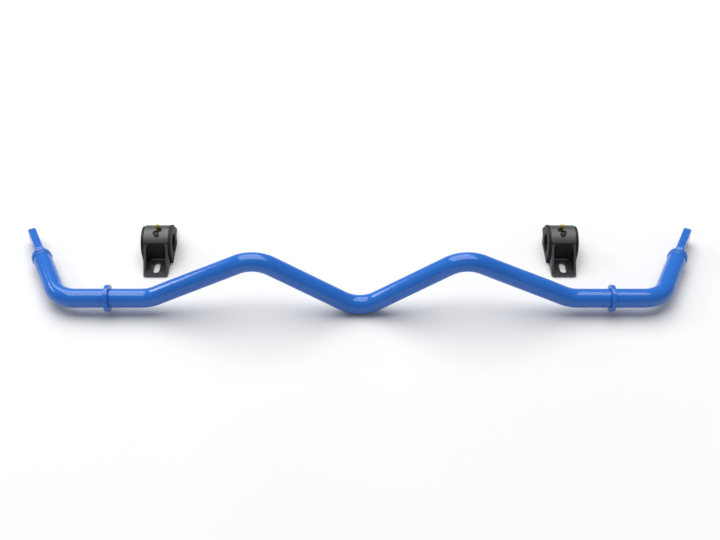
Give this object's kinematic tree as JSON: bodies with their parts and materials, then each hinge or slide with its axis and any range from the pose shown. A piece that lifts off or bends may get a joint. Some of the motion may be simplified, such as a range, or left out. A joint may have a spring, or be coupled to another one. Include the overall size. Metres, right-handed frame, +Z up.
{
  "type": "sway bar",
  "caption": "Tubular sway bar with bent blade-ended arms, locating collars and loose greasable bushings in slotted saddle brackets.",
  "frame": {"origin": "centre of the bounding box of the laid out set, on the surface that it lies on", "axes": "+X along the bar to the right, +Y from the bar towards the arms and brackets, +Z up"},
  "size_m": [1.1886, 0.2315, 0.1227],
  "materials": {
    "blue_powder_coat": "gloss",
    "black_bracket_paint": "satin",
    "black_polyurethane": "satin",
    "yellow_zinc_steel": "satin",
    "polished_steel": "polished",
    "spring_steel": "satin"
  },
  "bodies": {
    "bar": {"bar_tube": "blue_powder_coat", "left_locating_collar": "blue_powder_coat", "right_locating_collar": "blue_powder_coat", "left_collar_weld": "blue_powder_coat", "right_collar_weld": "blue_powder_coat", "left_blade_end": "blue_powder_coat", "right_blade_end": "blue_powder_coat", "left_end_weld": "blue_powder_coat", "right_end_weld": "blue_powder_coat"},
    "left_bushing": {"left_bushing": "black_polyurethane"},
    "left_bracket": {"left_bracket_housing": "black_bracket_paint", "left_grease_fitting": "yellow_zinc_steel", "left_spring_seat": "spring_steel", "left_ball_spring": "spring_steel"},
    "left_check_ball": {"left_check_ball": "polished_steel"},
    "right_bushing": {"right_bushing": "black_polyurethane"},
    "right_bracket": {"right_bracket_housing": "black_bracket_paint", "right_grease_fitting": "yellow_zinc_steel", "right_spring_seat": "spring_steel", "right_ball_spring": "spring_steel"},
    "right_check_ball": {"right_check_ball": "polished_steel"}
  },
  "joints": [
    {"name": "left_unit_lift", "type": "slide", "parent": "bar", "child": "left_bushing", "axis": [0, 0, 1], "range_m": [0, 0.1]},
    {"name": "left_bracket_lift", "type": "slide", "parent": "left_bushing", "child": "left_bracket", "axis": [0, 0, 1], "range_m": [0, 0.06]},
    {"name": "left_ball_press", "type": "slide", "parent": "left_bracket", "child": "left_check_ball", "axis": [0.5792, -0.4056, -0.7071], "range_m": [0, 0.0008], "stiffness_N_per_m": 300, "springref_m": -0.002, "deforming": ["left_ball_spring"]},
    {"name": "right_unit_lift", "type": "slide", "parent": "bar", "child": "right_bushing", "axis": [0, 0, 1], "range_m": [0, 0.1]},
    {"name": "right_bracket_lift", "type": "slide", "parent": "right_bushing", "child": "right_bracket", "axis": [0, 0, 1], "range_m": [0, 0.06]},
    {"name": "right_ball_press", "type": "slide", "parent": "right_bracket", "child": "right_check_ball", "axis": [-0.5792, -0.4056, -0.7071], "range_m": [0, 0.0008], "stiffness_N_per_m": 300, "springref_m": -0.002, "deforming": ["right_ball_spring"]}
  ]
}
